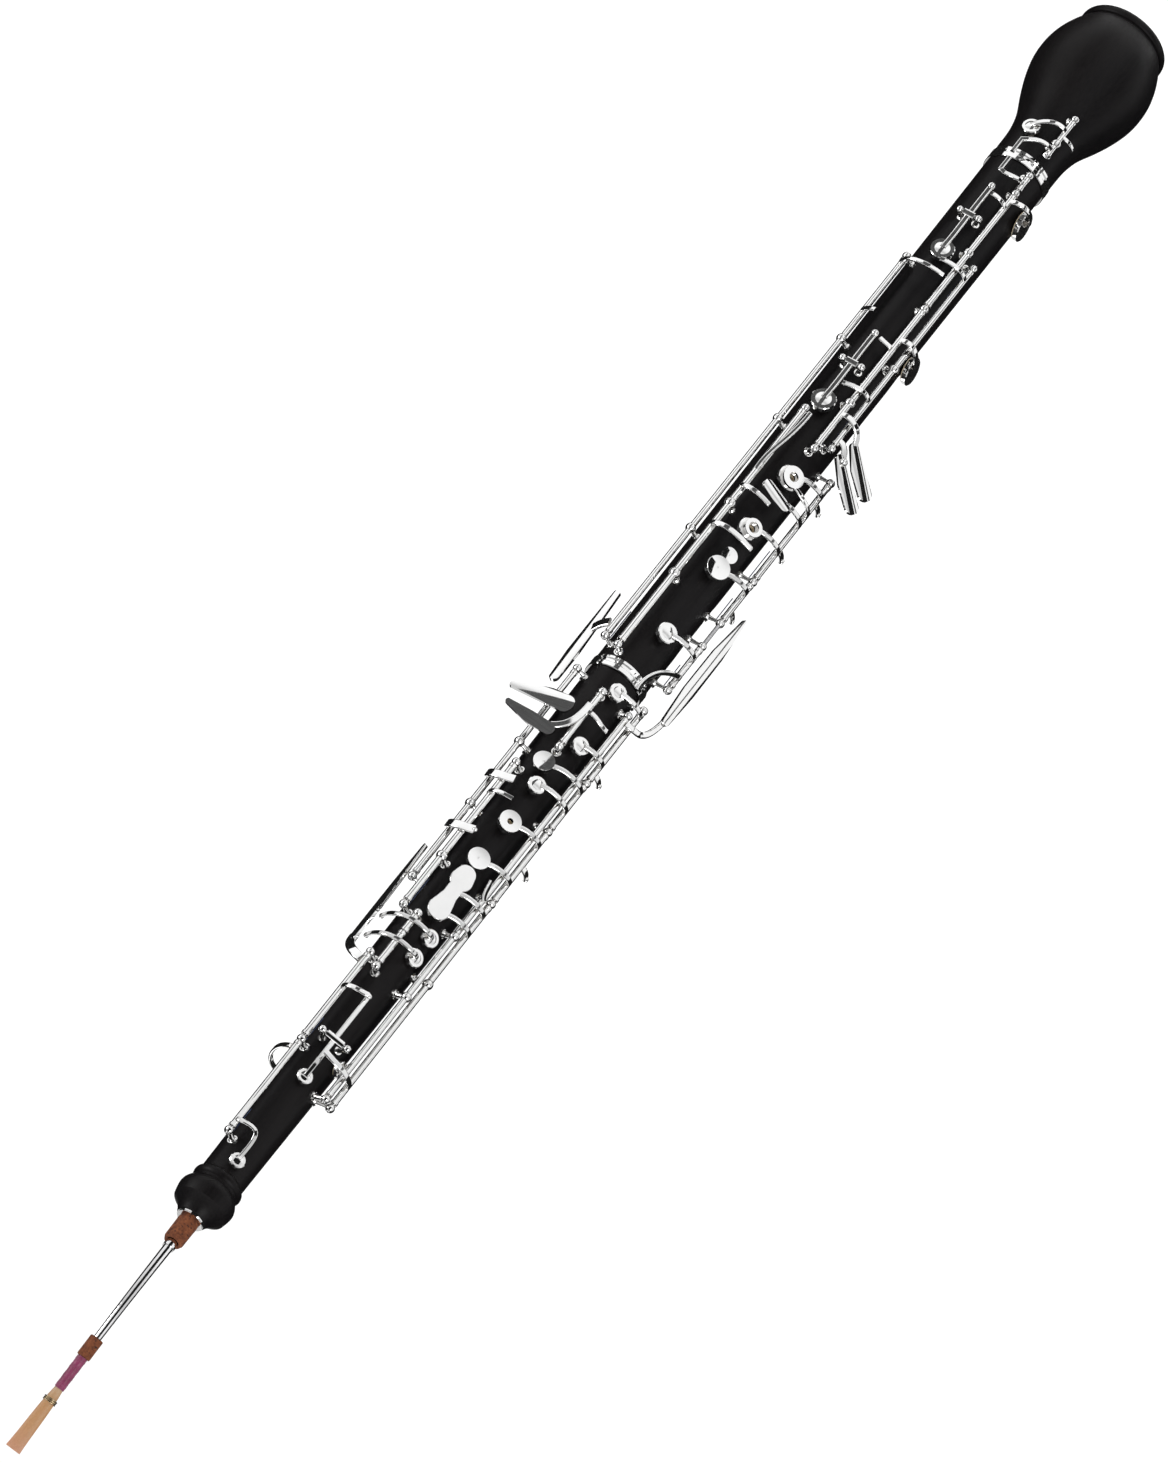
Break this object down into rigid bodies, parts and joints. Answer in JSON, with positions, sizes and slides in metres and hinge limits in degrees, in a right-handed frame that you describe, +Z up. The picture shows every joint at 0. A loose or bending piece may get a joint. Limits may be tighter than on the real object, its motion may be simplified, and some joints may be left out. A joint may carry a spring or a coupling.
{
  "type": "cor anglais",
  "caption": "Cor anglais, the alto of the oboe family: black wooden body with a bulb bell, silver-plated keywork on posts and rods, curved bocal and cane reed.",
  "frame": {"origin": "centre of the bell's rim, on the axis of the bore", "axes": "+Z up the bore from the bell towards the reed; the finger plates face -Y; +X is to the viewer's right when the instrument is seen from the front"},
  "size_m": [0.0763, 0.0605, 0.9292],
  "materials": {
    "blackwood": "oiled satin, near black",
    "silver_plate": "polished silver plate",
    "steel": "polished steel",
    "blued_steel": "blued",
    "key_pad": "thin skin over felt",
    "cork": "sanded cork with dark specks",
    "bocal_silver": "polished silver plate",
    "thread": "waxed thread, plum",
    "cane": "scraped cane",
    "brass_wire": "drawn"
  },
  "bodies": {
    "instrument": {"upper_joint": "blackwood", "lower_joint": "blackwood", "bell": "blackwood", "key_posts": "silver_plate", "pivot_rods": "steel", "needle_springs": "blued_steel", "socket_bands": "silver_plate", "finial_ring": "silver_plate", "tenon_corks": "cork", "thumb_rest": "silver_plate", "thumb_rest_screws": "steel"},
    "octave_key_1": {"octave_key_1": "silver_plate", "octave_key_1_pad": "key_pad"},
    "octave_lever_2": {"octave_lever_2": "silver_plate", "octave_lever_2_pad": "key_pad"},
    "octave_key_2": {"octave_key_2": "silver_plate"},
    "trill_lever_1": {"trill_lever_1": "silver_plate", "trill_lever_1_pad": "key_pad"},
    "trill_lever_2": {"trill_lever_2": "silver_plate", "trill_lever_2_pad": "key_pad"},
    "half_hole_key": {"half_hole_key": "silver_plate", "half_hole_key_pad": "key_pad"},
    "b_key": {"b_key": "silver_plate", "b_key_pads": "key_pad"},
    "a_key": {"a_key": "silver_plate", "a_key_pads": "key_pad"},
    "g_key": {"g_key": "silver_plate", "g_key_pads": "key_pad"},
    "left_pinky_key_1": {"left_pinky_key_1": "silver_plate"},
    "left_pinky_key_2": {"left_pinky_key_2": "silver_plate"},
    "left_link_key": {"left_link_key": "silver_plate"},
    "right_trill_key": {"right_trill_key": "silver_plate", "right_trill_key_pad": "key_pad"},
    "f_sharp_key": {"f_sharp_key": "silver_plate", "f_sharp_key_pad": "key_pad"},
    "e_plate_key": {"e_plate_key": "silver_plate", "e_plate_key_pad": "key_pad"},
    "fork_link_key": {"fork_link_key": "silver_plate"},
    "ring_key": {"ring_key": "silver_plate", "ring_key_pads": "key_pad"},
    "e_flat_key": {"e_flat_key": "silver_plate", "e_flat_key_pad": "key_pad"},
    "low_c_key": {"low_c_key": "silver_plate"},
    "low_c_lever": {"low_c_lever": "silver_plate", "low_c_lever_pad": "key_pad"},
    "low_b_lever": {"low_b_lever": "silver_plate", "low_b_lever_pad": "key_pad"},
    "low_side_key": {"low_side_key": "silver_plate", "low_side_key_pad": "key_pad"},
    "left_hand_low_key": {"left_hand_low_key": "silver_plate"},
    "bell_link_key": {"bell_link_key": "silver_plate"},
    "bell_key": {"bell_key": "silver_plate", "bell_key_pad": "key_pad"},
    "bocal": {"bocal_tube": "bocal_silver", "bocal_cork": "cork"},
    "reed": {"reed_cork": "cork", "reed_thread": "thread", "reed_wire": "brass_wire", "reed_blades": "cane"},
    "strap_ring": {"strap_ring": "silver_plate"}
  },
  "joints": [
    {"name": "octave_key_1_turn", "type": "hinge", "parent": "instrument", "child": "octave_key_1", "pos_m": [0.01089, -0.01345, 0.736], "axis": [0, 0, 1], "range_deg": [0, 6], "stiffness_Nm_per_rad": 0.02, "springref_deg": -57.3},
    {"name": "octave_lever_2_turn", "type": "hinge", "parent": "instrument", "child": "octave_lever_2", "pos_m": [-0.0006, -0.01719, 0.699], "axis": [0.9994, -0.0349, 0], "range_deg": [0, 3.5], "stiffness_Nm_per_rad": 0.02, "springref_deg": -57.3},
    {"name": "octave_key_2_turn", "type": "hinge", "parent": "instrument", "child": "octave_key_2", "pos_m": [0.01089, -0.01345, 0.679], "axis": [0, 0, 1], "range_deg": [0, 6], "stiffness_Nm_per_rad": 0.02, "springref_deg": -57.3},
    {"name": "trill_lever_1_turn", "type": "hinge", "parent": "instrument", "child": "trill_lever_1", "pos_m": [0.00523, -0.01712, 0.645], "axis": [0, 0, 1], "range_deg": [0, 5], "stiffness_Nm_per_rad": 0.02, "springref_deg": -57.3},
    {"name": "trill_lever_2_turn", "type": "hinge", "parent": "instrument", "child": "trill_lever_2", "pos_m": [0.00523, -0.01712, 0.63], "axis": [0, 0, 1], "range_deg": [0, 5], "stiffness_Nm_per_rad": 0.02, "springref_deg": -57.3},
    {"name": "half_hole_key_turn", "type": "hinge", "parent": "instrument", "child": "half_hole_key", "pos_m": [-0.01767, -0.00824, 0.656], "axis": [0, 0, 1], "range_deg": [0, 4.5], "stiffness_Nm_per_rad": 0.02, "springref_deg": -57.3},
    {"name": "b_key_turn", "type": "hinge", "parent": "instrument", "child": "b_key", "pos_m": [-0.01767, -0.00824, 0.567], "axis": [0, 0, 1], "range_deg": [0, 4.5], "stiffness_Nm_per_rad": 0.02, "springref_deg": -57.3},
    {"name": "a_key_turn", "type": "hinge", "parent": "instrument", "child": "a_key", "pos_m": [-0.01767, -0.00824, 0.527], "axis": [0, 0, 1], "range_deg": [0, 4.5], "stiffness_Nm_per_rad": 0.02, "springref_deg": -57.3},
    {"name": "g_key_turn", "type": "hinge", "parent": "instrument", "child": "g_key", "pos_m": [-0.01767, -0.00824, 0.487], "axis": [0, 0, 1], "range_deg": [0, 4.5], "stiffness_Nm_per_rad": 0.02, "springref_deg": -57.3},
    {"name": "left_pinky_key_1_turn", "type": "hinge", "parent": "instrument", "child": "left_pinky_key_1", "pos_m": [0.00203, -0.01869, 0.493], "axis": [0, 0, 1], "range_deg": [0, 5], "stiffness_Nm_per_rad": 0.02, "springref_deg": -57.3},
    {"name": "left_pinky_key_2_turn", "type": "hinge", "parent": "instrument", "child": "left_pinky_key_2", "pos_m": [0.01727, -0.00769, 0.535], "axis": [0, 0, 1], "range_deg": [0, 5], "stiffness_Nm_per_rad": 0.02, "springref_deg": -57.3},
    {"name": "left_link_key_turn", "type": "hinge", "parent": "instrument", "child": "left_link_key", "pos_m": [0.01262, -0.01353, 0.575], "axis": [0, 0, 1], "range_deg": [0, 4], "stiffness_Nm_per_rad": 0.02, "springref_deg": -57.3},
    {"name": "right_trill_key_turn", "type": "hinge", "parent": "instrument", "child": "right_trill_key", "pos_m": [-0.01371, -0.01213, 0.597], "axis": [0, 0, 1], "range_deg": [0, 6], "stiffness_Nm_per_rad": 0.02, "springref_deg": -57.3},
    {"name": "f_sharp_key_turn", "type": "hinge", "parent": "instrument", "child": "f_sharp_key", "pos_m": [-0.02039, -0.00742, 0.43], "axis": [0, 0, 1], "range_deg": [0, 4.5], "stiffness_Nm_per_rad": 0.02, "springref_deg": -57.3},
    {"name": "e_plate_key_turn", "type": "hinge", "parent": "instrument", "child": "e_plate_key", "pos_m": [-0.02039, -0.00742, 0.386], "axis": [0, 0, 1], "range_deg": [0, 4.5], "stiffness_Nm_per_rad": 0.02, "springref_deg": -57.3},
    {"name": "fork_link_key_turn", "type": "hinge", "parent": "instrument", "child": "fork_link_key", "pos_m": [0.0098, -0.01697, 0.367], "axis": [0, 0, 1], "range_deg": [0, 4], "stiffness_Nm_per_rad": 0.02, "springref_deg": -57.3},
    {"name": "ring_key_turn", "type": "hinge", "parent": "instrument", "child": "ring_key", "pos_m": [-0.02039, -0.00742, 0.338], "axis": [0, 0, 1], "range_deg": [0, 4.5], "stiffness_Nm_per_rad": 0.02, "springref_deg": -57.3},
    {"name": "e_flat_key_turn", "type": "hinge", "parent": "instrument", "child": "e_flat_key", "pos_m": [-0.00463, -0.02007, 0.254], "axis": [0, 0, -1], "range_deg": [0, 4.5], "stiffness_Nm_per_rad": 0.02, "springref_deg": -57.3},
    {"name": "low_c_key_turn", "type": "hinge", "parent": "instrument", "child": "low_c_key", "pos_m": [-0.01079, -0.01755, 0.232], "axis": [0, 0, -1], "range_deg": [0, 4.5], "stiffness_Nm_per_rad": 0.02, "springref_deg": -57.3},
    {"name": "low_c_lever_turn", "type": "hinge", "parent": "instrument", "child": "low_c_lever", "pos_m": [0.00617, -0.01898, 0.252], "axis": [-0.9511, -0.309, 0], "range_deg": [0, 3.2], "stiffness_Nm_per_rad": 0.02, "springref_deg": -57.3},
    {"name": "low_b_lever_turn", "type": "hinge", "parent": "instrument", "child": "low_b_lever", "pos_m": [0.00629, -0.01935, 0.147], "axis": [-0.9511, -0.309, 0], "range_deg": [0, 3.2], "stiffness_Nm_per_rad": 0.02, "springref_deg": -57.3},
    {"name": "low_side_key_turn", "type": "hinge", "parent": "instrument", "child": "low_side_key", "pos_m": [-0.00463, -0.02007, 0.164], "axis": [0, 0, 1], "range_deg": [0, 5], "stiffness_Nm_per_rad": 0.02, "springref_deg": -57.3},
    {"name": "left_hand_low_key_turn", "type": "hinge", "parent": "instrument", "child": "left_hand_low_key", "pos_m": [0.01675, -0.0113, 0.313], "axis": [0, 0, 1], "range_deg": [0, 5], "stiffness_Nm_per_rad": 0.02, "springref_deg": -57.3},
    {"name": "bell_link_key_turn", "type": "hinge", "parent": "instrument", "child": "bell_link_key", "pos_m": [-0.00463, -0.02007, 0.116], "axis": [0, 0, -1], "range_deg": [0, 5], "stiffness_Nm_per_rad": 0.02, "springref_deg": -57.3},
    {"name": "bell_key_turn", "type": "hinge", "parent": "instrument", "child": "bell_key", "pos_m": [-0.00508, -0.02202, 0.084], "axis": [0, 0, -1], "range_deg": [0, 5], "stiffness_Nm_per_rad": 0.02, "springref_deg": -57.3},
    {"name": "bocal_pull", "type": "slide", "parent": "instrument", "child": "bocal", "axis": [0, 0, 1], "range_m": [0, 0.018]},
    {"name": "reed_pull", "type": "slide", "parent": "bocal", "child": "reed", "axis": [-0.0183, 0.3742, 0.9272], "range_m": [0, 0.009]},
    {"name": "strap_ring_swing", "type": "hinge", "parent": "instrument", "child": "strap_ring", "pos_m": [0, 0.0192, 0.35], "axis": [1, 0, 0], "range_deg": [0, 110]}
  ],
  "couplings": [
    {"joint": "octave_lever_2_turn", "follows": "octave_key_2_turn", "ratio": 0.5833},
    {"joint": "low_c_lever_turn", "follows": "low_c_key_turn", "ratio": 0.7111},
    {"joint": "low_b_lever_turn", "follows": "low_c_key_turn", "ratio": 0.7111},
    {"joint": "bell_key_turn", "follows": "bell_link_key_turn", "ratio": 1}
  ]
}
